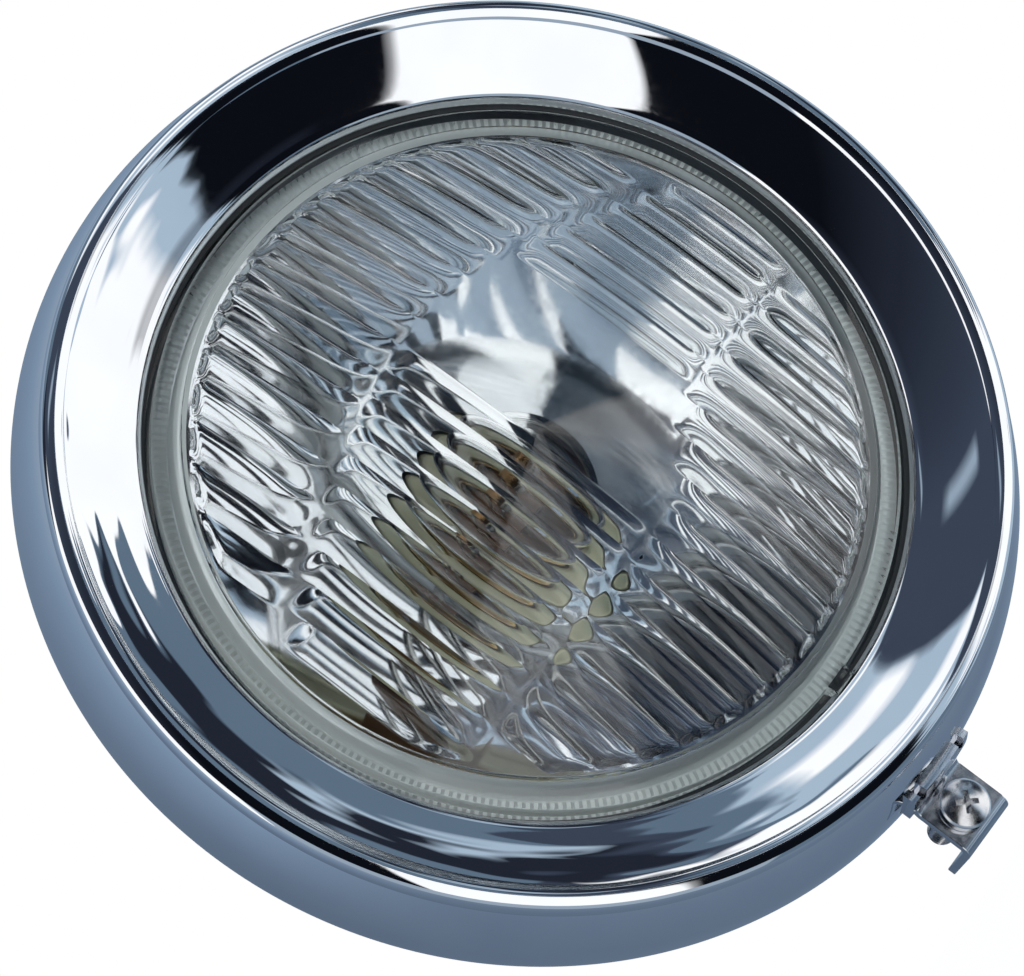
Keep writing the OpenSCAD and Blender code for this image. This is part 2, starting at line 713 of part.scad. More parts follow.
// Spade terminals riveted over the plungers' ends
module terminal_blades() {
    color("gold") for (side = [0, 180]) rotate([0, side, 0]) difference() {
        translate([contact_x - plunger_head_r, carrier_end_y, -blade_w / 2]) {
            cube([blade_foot, blade_t, blade_w]);
            translate([blade_foot - blade_t, 0, 0]) cube([blade_t, blade_l, blade_w]);
        }
        translate([contact_x, 0, 0]) rod_y(plunger_r + 0.1, carrier_end_y - 1, carrier_end_y + 2);
    }
}

rim();
rim_tab();
rim_screw();
screw_washer();
top_hook();
lens();
lens_gasket();
reflector();
retaining_clips();
bulb_holder();
holder_clips();
earth_blade();
bulb_glass();
bulb_stem();
lead_wires();
main_filament();
dip_filament();
dip_shield();
bulb_cap();
cap_insulator();
cap_contacts();
contact_carrier();
contact_plungers();
contact_springs();
terminal_blades();
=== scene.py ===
"""Looks of the round motorcycle headlight, built over the frame that its solids share.

The lamp looks along -Y, +Z is up, and the origin is the centre of the rim's rear edge. Sizes are
in millimetres, as in the part's source, and become metres where a mesh is finished.
"""
import logging
import math
from dataclasses import dataclass, field
from enum import Enum
from typing import Iterable, Optional, Sequence

import bmesh
import bpy
from mathutils import Matrix, Vector


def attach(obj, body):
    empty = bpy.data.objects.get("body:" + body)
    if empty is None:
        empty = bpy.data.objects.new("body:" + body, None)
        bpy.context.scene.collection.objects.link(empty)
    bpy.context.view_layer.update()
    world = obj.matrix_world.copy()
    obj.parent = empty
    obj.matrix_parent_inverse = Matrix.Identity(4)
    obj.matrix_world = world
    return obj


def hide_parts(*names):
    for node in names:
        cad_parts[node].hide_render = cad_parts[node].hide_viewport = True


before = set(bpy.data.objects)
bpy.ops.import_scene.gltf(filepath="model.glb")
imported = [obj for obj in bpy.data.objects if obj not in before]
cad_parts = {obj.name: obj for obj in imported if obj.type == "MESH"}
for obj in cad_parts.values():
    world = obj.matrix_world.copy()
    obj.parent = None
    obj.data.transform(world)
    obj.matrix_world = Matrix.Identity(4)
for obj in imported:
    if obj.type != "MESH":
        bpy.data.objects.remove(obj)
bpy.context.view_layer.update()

MM = 0.001
FULL_TURN = 2 * math.pi
WELD = 0.0005
CLEAR = 1.0  # how far a cutting tool reaches past the face that it cuts
AWAY = 100.0  # the y at which the fluted grid is trimmed, clear of the glass
BEVEL_FROM = math.radians(50)
LOG = logging.getLogger("headlight")
Point = tuple[float, float]
Colour = tuple[float, float, float]
BMesh = bmesh.types.BMesh
Socket = bpy.types.NodeSocket


# ---- Outlines in a half section, as (radius, y) ----


def arc(centre: Point, radius: float, start: float, end: float, steps: int) -> list[Point]:
    """Points of an arc.

    Args:
        centre: Centre of the arc.
        radius: Its radius.
        start: First angle in degrees.
        end: Last angle in degrees.
        steps: Number of chords.

    Returns:
        The steps + 1 points from start to end.
    """
    angles = (math.radians(start + (end - start) * i / steps) for i in range(steps + 1))
    return [(centre[0] + radius * math.cos(a), centre[1] + radius * math.sin(a)) for a in angles]


def bow(a: Point, b: Point, rise: float, steps: int) -> list[Point]:
    """Points of a shallow bow between two points.

    Args:
        a: First point.
        b: Last point.
        rise: Bulge to the left of the way from a to b.
        steps: Number of chords.

    Returns:
        The steps + 1 points from a to b.
    """
    way = Vector(b) - Vector(a)
    half = way.length / 2
    along = way.normalized()
    side = Vector((-along.y, along.x))
    ball = (half * half + rise * rise) / (2 * abs(rise))
    opening = math.asin(half / ball)
    middle = (Vector(a) + Vector(b)) / 2
    points = []
    for i in range(steps + 1):
        t = opening * (2 * i / steps - 1)
        lift = math.copysign(ball * math.cos(t) - ball + abs(rise), rise)
        points.append(tuple(middle + along * ball * math.sin(t) + side * lift))
    return points


def beside(path: Sequence[Point], shift: float) -> list[Point]:
    """A path moved sideways, with mitred corners.

    Args:
        path: The points of the path.
        shift: Distance to the left.

    Returns:
        The moved points.
    """
    spots = [Vector(p) for p in path]
    lefts = []
    for a, b in zip(spots, spots[1:]):
        step = (b - a).normalized()
        lefts.append(Vector((-step.y, step.x)))
    moved = []
    for i, spot in enumerate(spots):
        u = lefts[max(i - 1, 0)]
        v = lefts[min(i, len(lefts) - 1)]
        moved.append(tuple(spot + (u + v) * (shift / (1 + u.dot(v)))))
    return moved


def sheet(path: Sequence[Point], thickness: float) -> list[Point]:
    """The closed outline of a sheet bent along a path.

    Args:
        path: Centre line of the sheet.
        thickness: Thickness of the sheet.

    Returns:
        The outline's points, one side out and the other back.
    """
    return beside(path, thickness / 2) + beside(path, -thickness / 2)[::-1]


def softened(path: Sequence[Point], reach: float, steps: int = 3) -> list[Point]:
    """A path whose inner corners are rounded.

    Args:
        path: The points of the path.
        reach: How far from a corner the rounding starts, at most 0.4 of a side.
        steps: Number of chords in each corner.

    Returns:
        The rounded path.
    """
    spots = [Vector(p) for p in path]
    out = [tuple(spots[0])]
    for a, b, c in zip(spots, spots[1:], spots[2:]):
        back, on = a - b, c - b
        start = b + back.normalized() * min(reach, 0.4 * back.length)
        end = b + on.normalized() * min(reach, 0.4 * on.length)
        for i in range(steps + 1):
            t = i / steps
            out.append(tuple(start * (1 - t) ** 2 + b * (2 * t * (1 - t)) + end * t ** 2))
    out.append(tuple(spots[-1]))
    return out


# ---- Meshes ----


def spin_outline(bm: BMesh, outline: Sequence[Point], steps: int, closed: bool = True) -> None:
    """Spins a half section into a shell about the lamp's axis.

    Args:
        bm: The bmesh that takes the shell.
        outline: The half section as (radius, y).
        steps: Number of steps in the full turn.
        closed: Whether the outline's end joins its start.
    """
    verts = [bm.verts.new((r, y, 0.0)) for r, y in outline]
    edges = [bm.edges.new(pair) for pair in zip(verts, verts[1:])]
    if closed:
        edges.append(bm.edges.new((verts[-1], verts[0])))
    bmesh.ops.spin(bm, geom=verts + edges, cent=(0, 0, 0), axis=(0, 1, 0), angle=FULL_TURN,
                   steps=steps, use_merge=True)
    bmesh.ops.remove_doubles(bm, verts=bm.verts[:], dist=WELD)


def turned(outline: Sequence[Point], steps: int, closed: bool = True) -> BMesh:
    """A new closed shell, spun from a half section.

    Args:
        outline: The half section as (radius, y).
        steps: Number of steps in the full turn.
        closed: Whether the outline's end joins its start.

    Returns:
        The bmesh, with its faces outwards.
    """
    bm = bmesh.new()
    spin_outline(bm, outline, steps, closed)
    bmesh.ops.recalc_face_normals(bm, faces=bm.faces[:])
    return bm


def block(low: Sequence[float], high: Sequence[float]) -> BMesh:
    """A cutting tool: a box between its lowest and its highest corner."""
    bm = bmesh.new()
    bmesh.ops.create_cube(bm, size=1)
    bmesh.ops.scale(bm, vec=Vector(high) - Vector(low), verts=bm.verts[:])
    bmesh.ops.translate(bm, vec=(Vector(high) + Vector(low)) / 2, verts=bm.verts[:])
    return bm


def strip(outline: Sequence[Point], width: float, edge: float) -> BMesh:
    """A flat outline in (x, y), given a width along z and bevelled edges.

    Args:
        outline: The outline's points.
        width: Width along z, centred on z = 0.
        edge: Width of the bevel along the sharp edges.

    Returns:
        The bmesh of the strip.
    """
    bm = bmesh.new()
    face = bm.faces.new([bm.verts.new((x, y, -width / 2)) for x, y in outline])
    grown = bmesh.ops.extrude_face_region(bm, geom=[face])
    lifted = [g for g in grown["geom"] if isinstance(g, bmesh.types.BMVert)]
    bmesh.ops.translate(bm, vec=(0, 0, width), verts=lifted)
    bmesh.ops.recalc_face_normals(bm, faces=bm.faces[:])
    sharp = [e for e in bm.edges if e.calc_face_angle(0.0) > BEVEL_FROM]
    bmesh.ops.bevel(bm, geom=sharp, offset=edge, offset_type="OFFSET", segments=2,
                    profile=0.5, affect="EDGES", material=-1, clamp_overlap=True)
    return bm


def in_scene(name: str, data: object) -> bpy.types.Object:
    """A new object in the scene, of a mesh, lamp or camera, or of a bmesh, which is freed."""
    if isinstance(data, BMesh):
        mesh = bpy.data.meshes.new(name)
        data.to_mesh(mesh)
        data.free()
        data = mesh
    item = bpy.data.objects.new(name, data)
    bpy.context.scene.collection.objects.link(item)
    return item


def discard(item: bpy.types.Object) -> None:
    """Removes a scratch object and its mesh."""
    mesh = item.data
    bpy.data.objects.remove(item)
    bpy.data.meshes.remove(mesh)


def joined(parts: Iterable[BMesh]) -> BMesh:
    """Several bmeshes copied into one, and freed."""
    out = bmesh.new()
    for part in parts:
        item = in_scene("part", part)
        out.from_mesh(item.data)
        discard(item)
    return out


def cut(body: BMesh, tools: Iterable[BMesh], union: bool = False) -> BMesh:
    """A body with tools cut out of it, or fused to it.

    Args:
        body: The body's bmesh, which is freed.
        tools: The tools' bmeshes, which are freed.
        union: Whether the tools are fused instead.

    Returns:
        The bmesh of the result.
    """
    work = in_scene("scratch", body)
    helpers = [in_scene("scratch", tool) for tool in tools]
    for helper in helpers:
        step = work.modifiers.new("cut", "BOOLEAN")
        step.operation = "UNION" if union else "DIFFERENCE"
        step.solver = "EXACT"
        step.object = helper
    bpy.context.view_layer.update()
    shown = work.evaluated_get(bpy.context.evaluated_depsgraph_get())
    out = bmesh.new()
    out.from_mesh(shown.to_mesh())
    bmesh.ops.remove_doubles(out, verts=out.verts[:], dist=WELD)
    bmesh.ops.dissolve_degenerate(out, dist=WELD, edges=out.edges[:])
    for item in [work, *helpers]:
        discard(item)
    return out


def move(bm: BMesh, matrix: Matrix) -> BMesh:
    """A bmesh after a transform of all its points."""
    bmesh.ops.transform(bm, matrix=matrix, verts=bm.verts[:])
    return bm


def to_bottom() -> Matrix:
    """The turn that takes +X to six o'clock, -Z."""
    return Matrix.Rotation(math.radians(90), 4, "Y")


# ---- Finishes ----


class Shader:
    """A material's node tree, filled step by step."""

    def __init__(self, name: str, tree: Optional[bpy.types.NodeTree] = None) -> None:
        """Starts an empty node tree with an output.

        Args:
            name: The material's name.
            tree: The world's tree, where the nodes are the world's.
        """
        if tree is None:
            self.material = bpy.data.materials.new(name)
            self.material.use_nodes = True
        self.tree = tree or self.material.node_tree
        self.tree.nodes.clear()
        self.output = self.add("ShaderNodeOutputWorld" if tree else "ShaderNodeOutputMaterial")

    def add(self, kind: str, sockets: Optional[dict] = None, **settings: object) -> bpy.types.Node:
        """Adds a node.

        Args:
            kind: The node's type.
            sockets: Values or links for its inputs, by name or index.
            settings: Values for the node's own properties.

        Returns:
            The new node.
        """
        node = self.tree.nodes.new(kind)
        for key, value in settings.items():
            setattr(node, key, value)
        for key, value in (sockets or {}).items():
            if isinstance(value, Socket):
                self.tree.links.new(value, node.inputs[key])
            else:
                node.inputs[key].default_value = value
        return node

    def noise(self, scale: float, detail: float) -> Socket:
        """Noise over the object, with scale in repeats per metre."""
        place = self.add("ShaderNodeTexCoord").outputs["Object"]
        return self.add("ShaderNodeTexNoise", {"Vector": place, "Scale": scale,
                                               "Detail": detail}).outputs["Fac"]

    def ranged(self, value: Socket, low: float, high: float, start: float,
               end: float) -> Socket:
        """A value moved from the range start to end into the range low to high."""
        return self.add("ShaderNodeMapRange", {"Value": value, "From Min": start, "From Max": end,
                                               "To Min": low, "To Max": high}).outputs["Result"]

    def sum(self, value: Socket, factor: float, plus: object) -> Socket:
        """A value times a factor, plus another value."""
        return self.add("ShaderNodeMath", {0: value, 1: factor, 2: plus},
                        operation="MULTIPLY_ADD").outputs[0]

    def product(self, a: Socket, b: Socket) -> Socket:
        """The product of two values."""
        return self.add("ShaderNodeMath", {0: a, 1: b}, operation="MULTIPLY").outputs[0]

    def blend(self, share: Socket, a: object, b: object) -> Socket:
        """Two colours mixed by a share of the second."""
        return self.add("ShaderNodeMix", {0: share, 6: a, 7: b}, data_type="RGBA").outputs[2]

    def within(self, value: Socket, low: float, high: float, soft: float) -> Socket:
        """One where a value lies between two others, and 0 outside, with soft edges."""
        return self.product(self.ranged(value, 0.0, 1.0, low - soft, low + soft),
                            self.ranged(value, 1.0, 0.0, high - soft, high + soft))

    def tint(self, value: Socket, stops: Sequence[tuple[float, Colour]]) -> Socket:
        """A colour ramp over a value, from a list of (place, colour)."""
        ramp = self.add("ShaderNodeValToRGB", {"Fac": value})
        bar = ramp.color_ramp
        while len(bar.elements) < len(stops):
            bar.elements.new(0.5)
        for element, (place, colour) in zip(bar.elements, stops):
            element.position = place
            element.color = (*colour, 1)
        return ramp.outputs["Color"]

    def bump(self, height: Socket, depth: float) -> Socket:
        """The normal of a height and its depth in metres."""
        return self.add("ShaderNodeBump", {"Height": height, "Distance": depth,
                                           "Strength": 1.0}).outputs["Normal"]

    def close(self, sockets: dict) -> bpy.types.Material:
        """Ends the tree with a Principled shader.

        Args:
            sockets: Values or links for the shader's inputs.

        Returns:
            The finished material.
        """
        self.show(self.add("ShaderNodeBsdfPrincipled", sockets))
        return self.material

    def mix(self, share: Socket, a: bpy.types.Node, b: bpy.types.Node) -> bpy.types.Node:
        """Two shaders mixed by a share of the second."""
        return self.add("ShaderNodeMixShader", {0: share, 1: a.outputs[0], 2: b.outputs[0]})

    def show(self, shader: bpy.types.Node) -> None:
        """Links a shader to the tree's output."""
        self.tree.links.new(shader.outputs[0], self.output.inputs["Surface"])


# Scales of the patterns in repeats per metre, and the range of a noise that changes a gloss.
PATCHES = 90.0
WAVES = 28.0
PRESSING = 140.0
MOTTLE = 180.0
NOISE_RANGE = (0.3, 0.7)


@dataclass(frozen=True)
class Metal:
    """A metal with worn polish: its colours, its gloss and how uneven its surface is."""

    name: str
    colour: Colour
    dark: Colour
    smooth: float = 0.05
    rough: float = 0.12
    grain: float = 900.0
    grain_depth: float = 0.000001
    wave_depth: float = 0.0
    metallic: float = 1.0

    def material(self) -> bpy.types.Material:
        """The metal's material."""
        s = Shader(self.name)
        fine = s.noise(self.grain, 1)
        colour = s.tint(s.noise(PATCHES, 2), [(0.35, self.dark), (0.62, self.colour)])
        gloss = s.ranged(fine, self.smooth, self.rough, *NOISE_RANGE)
        sockets = {"Base Color": colour, "Metallic": self.metallic, "Roughness": gloss}
        if self.wave_depth:
            sockets["Normal"] = s.bump(s.noise(WAVES, 1), self.wave_depth)
        elif self.grain_depth:
            sockets["Normal"] = s.bump(fine, self.grain_depth)
        return s.close(sockets)


@dataclass(frozen=True)
class Glass:
    """Glass that lets light through to what stands behind it, clear or partly frosted."""

    name: str
    colour: Colour
    rough: float = 0.0
    ior: float = 1.5
    wave_depth: float = 0.0
    clear: float = 1.0
    shade: Colour = (0.92, 0.95, 0.95)

    def material(self) -> bpy.types.Material:
        """The glass's material."""
        s = Shader(self.name)
        sockets = {"Base Color": (*self.colour, 1), "Roughness": self.rough, "IOR": self.ior,
                   "Transmission Weight": self.clear}
        if self.wave_depth:
            sockets["Normal"] = s.bump(s.noise(PRESSING, 0), self.wave_depth)
        body = s.add("ShaderNodeBsdfPrincipled", sockets)
        shadow = s.add("ShaderNodeLightPath").outputs["Is Shadow Ray"]
        clear = s.add("ShaderNodeBsdfTransparent", {"Color": (*self.shade, 1)})
        s.show(s.mix(shadow, body, clear))
        return s.material


@dataclass(frozen=True)
class Matte:
    """Rubber, moulded resin or vitrite: a coloured body with fine grain."""

    name: str
    colour: Colour
    dark: Colour
    rough: float = 0.6
    grain: float = 1500.0
    grain_depth: float = 0.00001
    uneven: float = 0.1

    def material(self) -> bpy.types.Material:
        """The body's material."""
        s = Shader(self.name)
        fine = s.noise(self.grain, 2)
        colour = s.tint(s.noise(MOTTLE, 2), [(0.35, self.dark), (0.65, self.colour)])
        gloss = s.ranged(fine, self.rough - self.uneven, self.rough + self.uneven, *NOISE_RANGE)
        return s.close({"Base Color": colour, "Roughness": gloss,
                        "Normal": s.bump(fine, self.grain_depth)})


class Finish(Enum):
    """The finishes of the headlight's pieces."""

    CHROME = Metal("chrome_plate", (0.82, 0.84, 0.87), (0.79, 0.81, 0.85), 0.015, 0.035,
                   wave_depth=0.000004)
    TAB_CHROME = Metal("tab_chrome", (0.70, 0.72, 0.76), (0.60, 0.62, 0.66), 0.08, 0.16)
    SCREW = Metal("screw_plate", (0.74, 0.75, 0.77), (0.60, 0.61, 0.63), 0.16, 0.28)
    SILVER = Metal("reflector_silver", (0.93, 0.94, 0.96), (0.90, 0.91, 0.94), 0.03, 0.06,
                   grain_depth=0.0)
    REFLECTOR_BACK = Metal("reflector_back", (0.74, 0.74, 0.72), (0.62, 0.62, 0.61), 0.24, 0.40,
                           metallic=0.45)
    SPRING = Metal("spring_steel", (0.56, 0.56, 0.57), (0.42, 0.42, 0.44), 0.20, 0.34)
    PASSIVATED = Metal("yellow_passivate", (0.74, 0.71, 0.50), (0.60, 0.60, 0.43), 0.30, 0.44,
                       metallic=0.6)
    BRASS = Metal("bare_brass", (0.80, 0.60, 0.26), (0.66, 0.48, 0.20), 0.16, 0.30)
    CAP_BRASS = Metal("cap_brass", (0.74, 0.58, 0.30), (0.60, 0.45, 0.22), 0.20, 0.34)
    NICKEL = Metal("nickel_wire", (0.62, 0.61, 0.58), (0.50, 0.49, 0.47), 0.15, 0.25)
    TUNGSTEN = Metal("tungsten_coil", (0.30, 0.29, 0.28), (0.20, 0.19, 0.19), 0.30, 0.40)
    SHIELD = Metal("shield_sheet", (0.45, 0.26, 0.12), (0.32, 0.18, 0.08), 0.25, 0.40)
    SOLDER = Metal("solder_dome", (0.62, 0.63, 0.64), (0.48, 0.49, 0.50), 0.25, 0.40)
    LENS = Glass("pressed_glass", (0.965, 0.99, 0.99), 0.0, 1.5, 0.000006)
    RIBS = Glass("ribbed_margin", (0.93, 1.0, 1.0), 0.16, 1.5, 0.0, 0.3)
    BULB = Glass("blown_glass", (0.98, 0.99, 0.99), 0.0, 1.45)
    STEM = Matte("brown_stem", (0.17, 0.075, 0.03), (0.11, 0.045, 0.018), 0.35)
    RUBBER = Matte("gasket_rubber", (0.09, 0.10, 0.11), (0.06, 0.068, 0.075), 0.55)
    RESIN = Matte("brown_resin", (0.16, 0.075, 0.035), (0.10, 0.045, 0.02), 0.40)
    VITRITE = Matte("black_vitrite", (0.025, 0.024, 0.03), (0.012, 0.012, 0.016), 0.15)

    def material(self) -> bpy.types.Material:
        """The finish's material, made once."""
        made = bpy.data.materials.get(self.value.name)
        return made or self.value.material()


# ---- Sub-assemblies ----


class Assembly:
    """What every sub-assembly does with its finished pieces."""

    def place(self, bm: BMesh, name: str, finishes: Sequence[Finish], node: str,
              slot: str, sharp: float = 35.0, flat: bool = False) -> None:
        """Makes a piece of a bmesh and lets it stand for a node.

        Args:
            bm: The bmesh in millimetres, which is freed.
            name: The piece's name.
            finishes: Its finishes, in the order of the faces' material index.
            node: The node that it replaces.
            slot: The record's material slot, which is not used.
            sharp: Angle in degrees past which an edge is shaded sharp.
            flat: Whether its large flat faces keep their own shading beside small ones.
        """
        move(bm, Matrix.Scale(MM, 4))
        limit = math.radians(sharp)
        for face in bm.faces:
            face.smooth = True
        for edge in bm.edges:
            edge.smooth = edge.calc_face_angle(0.0) < limit
        piece = in_scene(name, bm)
        for finish in finishes:
            piece.data.materials.append(finish.material())
        if flat:
            piece.modifiers.new("weighting", "WEIGHTED_NORMAL").keep_sharp = True
        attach(piece, "root")
        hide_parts(node)
        triangles = sum(len(p.vertices) - 2 for p in piece.data.polygons)
        LOG.info("%s: %d triangles, for %s", name, triangles, node)

    def dress(self, **finishes: Finish) -> None:
        """Gives nodes that keep their own meshes their finishes, by the node's name."""
        for node, finish in finishes.items():
            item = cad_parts[node]
            if not item.material_slots:
                item.data.materials.append(None)
            for holder in item.material_slots:
                holder.material = finish.material()
            LOG.info("%s: %s", node, finish.value.name)


@dataclass
class Rim(Assembly):
    """The pressed and chromed rim."""

    radius: float = 70.0
    depth: float = 16.0
    thickness: float = 0.9
    ridge_r: float = 64.7
    bead_r: float = 1.9
    bead_from: float = 50.0
    bead_to: float = -140.0
    band_bow: float = 1.0
    hem_w: float = 3.4
    hem_bend: float = 1.6
    lip_r: float = 52.8
    face_drop: float = 4.2
    face_dish: float = 0.6
    lip_roll: float = 1.9
    lip_len: float = 1.0
    key_room: float = 4.5
    key_depth: float = 0.7
    hook_room: float = 14.6
    steps: int = 288

    @property
    def lip_end(self) -> float:
        """The y of the inner lip's end."""
        return -self.depth + self.face_drop + self.lip_roll + self.lip_len

    def band_ends(self) -> tuple[Point, Point]:
        """Where the band's centre line starts at the rear and ends at the bead."""
        rear = (self.radius - self.thickness / 2, -self.hem_bend)
        return rear, self.bead()[0]

    def bead(self) -> list[Point]:
        """The centre line of the bead at the front ridge."""
        return arc((self.ridge_r, -self.depth + self.bead_r), self.bead_r - self.thickness / 2,
                   self.bead_from, self.bead_to, 26)

    def centre_line(self) -> list[Point]:
        """The sheet's centre line from the hem to the inner lip."""
        t = self.thickness
        rear, front = self.band_ends()
        lip_mid = self.lip_roll - t / 2
        lip = (self.lip_r + self.lip_roll, -self.depth + self.face_drop + self.lip_roll)
        hem = arc((self.radius - self.hem_bend, -self.hem_bend), self.hem_bend - t / 2, 90, 0, 8)
        roll = self.bead()
        face = bow(roll[-1], (lip[0], lip[1] - lip_mid), -self.face_dish, 18)
        turn = arc(lip, lip_mid, -90, -180, 10)
        return [(self.radius - self.hem_w, -t / 2), *hem, *bow(rear, front, self.band_bow, 18)[1:],
                *roll[1:], *face[1:], *turn[1:], (self.lip_r + t / 2, self.lip_end)]

    def build(self) -> None:
        """Spins the rim and cuts the key's notch and the hook's window."""
        body = turned(sheet(self.centre_line(), self.thickness), self.steps)
        half = self.key_room / 2
        notch = block((self.lip_r - CLEAR, -self.depth, -half),
                      (self.lip_r + self.key_depth, self.lip_end + CLEAR, half))
        move(notch, to_bottom())
        half = self.hook_room / 2
        window = block((self.radius - self.hem_w - CLEAR, -self.hem_bend, -half),
                       (self.radius - self.thickness, CLEAR, half))
        move(window, Matrix.Rotation(math.radians(-90), 4, "Y"))
        self.place(cut(body, [notch, window]), "chromed_rim", [Finish.CHROME], "rim",
                   "chromed_rim")


@dataclass
class Tab(Assembly):
    """The folded tab at six o'clock, with its screw and washer."""

    rim: Rim = field(default_factory=Rim)
    width: float = 9.8
    outer: float = 80.6
    thickness: float = 1.2
    flange: float = 9.0
    flange_bend: float = 1.2
    edge: float = 0.15
    foot_w: float = 13.0
    foot_l: float = 5.5
    bend: float = 1.4
    notch_w: float = 1.4
    notch_l: float = 2.4
    notch_in: float = 0.3
    screw_at: float = 75.7
    screw_r: float = 2.0
    waist_r: float = 1.6
    hole_r: float = 2.25
    head_r: float = 3.6
    head_h: float = 2.4
    head_edge: float = 0.15
    slot_l: float = 4.2
    slot_w: float = 0.9
    slot_floor: float = 0.9
    slot_taper: tuple[float, float, float] = (0.55, 1, 0.7)
    screw_l: float = 12.0
    washer_t: float = 0.6
    thread_pitch: float = 0.7
    thread_depth: float = 0.35

    def foot_line(self) -> list[Point]:
        """The centre line of the foot, from its rear end forwards along the band."""
        rim = self.rim
        lift = rim.thickness / 2 + self.thickness / 2
        line = beside(bow(*rim.band_ends(), rim.band_bow, 40), lift)
        return [p for p in line if p[1] > -rim.hem_bend - self.foot_l]

    @property
    def plate_y(self) -> float:
        """The y of the plate's centre line."""
        return self.foot_line()[0][1] + self.bend

    def build(self) -> None:
        """Builds the tab and the screw, and dresses the washer and the hook."""
        self.place(self.bracket(), "folded_tab", [Finish.TAB_CHROME], "rim_tab", "chromed_tab",
                   20.0, True)
        self.place(self.screw(), "fixing_screw", [Finish.SCREW], "rim_screw", "plated_screw",
                   flat=True)
        self.dress(screw_washer=Finish.SCREW, top_hook=Finish.TAB_CHROME)

    def bracket(self) -> BMesh:
        """The foot on the band, the plate and the end flange as one sheet."""
        rim = self.rim
        path = self.foot_line()
        foot = turned(sheet(path, self.thickness), rim.steps)
        half = self.foot_w / 2
        for spot, way in (((0, 0, -half), (0, 0, -1)), ((0, 0, half), (0, 0, 1)),
                          ((0, 0, 0), (-1, 0, 0))):
            bmesh.ops.bisect_plane(foot, geom=foot.verts[:] + foot.edges[:] + foot.faces[:],
                                   plane_co=spot, plane_no=way, clear_outer=True)
        bmesh.ops.holes_fill(foot, edges=[e for e in foot.edges if e.is_boundary])
        bmesh.ops.recalc_face_normals(foot, faces=foot.faces[:])
        root, front = path[0], path[-1]
        out = self.outer - self.thickness / 2
        bend = self.flange_bend
        line = [root, *arc((root[0] + self.bend, root[1]), self.bend, 180, 90, 8)[1:],
                *arc((out - bend, self.plate_y + bend), bend, -90, 0, 8),
                (out, self.plate_y + self.flange)]
        plate = strip(sheet(line, self.thickness), self.width, self.edge)
        tools = []
        for sign in (-1, 1):
            middle = sign * (self.width / 2 - self.notch_in)
            tools.append(block(
                (rim.ridge_r, front[1] - CLEAR, middle - self.notch_w / 2),
                (self.screw_at, front[1] + self.notch_l, middle + self.notch_w / 2)))
        reach = self.plate_y + self.thickness + CLEAR
        hole = turned([(0, -reach), (self.hole_r, -reach), (self.hole_r, reach), (0, reach)], 48,
                      False)
        tools.append(move(hole, Matrix.Translation((self.screw_at, 0, 0))))
        body = cut(cut(foot, [plate], union=True), tools)
        return move(body, to_bottom())

    def screw(self) -> BMesh:
        """The cross-recess screw with its waist and thread."""
        front = self.plate_y - self.thickness / 2
        seat = self.plate_y + self.thickness / 2
        start = seat + self.washer_t + 1
        end = seat + self.screw_l
        ball = 2 * self.head_r
        top = front - self.head_h
        crown = [(r, top + ball - math.sqrt(ball * ball - r * r))
                 for r in (self.head_r * i / 10 for i in range(10))]
        core = self.screw_r - self.thread_depth
        rim_y = top + ball - math.sqrt(ball * ball - self.head_r ** 2)
        edge = self.head_edge
        outline = [*crown, (self.head_r - 0.12, rim_y - 0.02), (self.head_r, rim_y + 0.14),
                   (self.head_r, front - edge), (self.head_r - edge, front),
                   (self.waist_r, front), (self.waist_r, start), (core, start + 0.2),
                   (core, end - 0.6), (core - 0.5, end), (0, end)]
        body = turned(outline, 64, False)
        tools = []
        for angle in (45, 135):
            slot = block((-self.slot_l / 2, top - CLEAR, -self.slot_w / 2),
                         (self.slot_l / 2, front - self.slot_floor, self.slot_w / 2))
            low = [v for v in slot.verts if v.co.y > top]
            bmesh.ops.scale(slot, vec=self.slot_taper, verts=low)
            tools.append(move(slot, Matrix.Rotation(math.radians(angle), 4, "Y")))
        parts = [cut(body, tools), self.thread(core, start + 0.1, end - 0.7)]
        return move(joined(parts), to_bottom() @ Matrix.Translation((self.screw_at, 0, 0)))

    def thread(self, core: float, start: float, end: float) -> BMesh:
        """The thread's ridge, spun along the shank.

        Args:
            core: Radius of the shank under the thread.
            start: First y of the thread.
            end: Last y of the thread.

        Returns:
            The bmesh of the ridge.
        """
        bm = bmesh.new()
        half = 0.42 * self.thread_pitch
        profile = [(core - 0.1, -half), (self.screw_r, -0.05), (self.screw_r, 0.05),
                   (core - 0.1, half)]
        verts = [bm.verts.new((r, start + half + y, 0)) for r, y in profile]
        edges = [bm.edges.new((verts[i], verts[(i + 1) % 4])) for i in range(4)]
        turns = (end - start - 2 * half) / self.thread_pitch
        steps = int(28 * turns)
        bmesh.ops.spin(bm, geom=verts + edges, cent=(0, 0, 0), axis=(0, 1, 0),
                       dvec=(0, self.thread_pitch * turns / steps, 0), angle=FULL_TURN * turns,
                       steps=steps, use_merge=False)
        bmesh.ops.holes_fill(bm, edges=[e for e in bm.edges if e.is_boundary])
        bmesh.ops.recalc_face_normals(bm, faces=bm.faces[:])
        return bm


@dataclass(frozen=True)
class Fluting:
    """One kind of flute: its pitch, half width, depth and the run over which it fades."""

    pitch: float
    radius: float
    depth: float
    run: float

    def relief(self, x: float, z: float, low: float, high: float) -> float:
        """How deep a flute is, hollow from ridge to ridge, fading towards its two ends.

        Args:
            x: Place across the glass.
            z: Height on the glass.
            low: Height of the block's lower end at this flute.
            high: Height of the block's upper end at this flute.

        Returns:
            The depth, or 0 outside the flute.
        """
        off = x / self.pitch - round(x / self.pitch)
        hollow = 1 - 4 * off * off
        fade = min(1.0, max(0.0, min(z - low, high - z) / self.run))
        return self.depth * hollow * fade * (2 - fade)


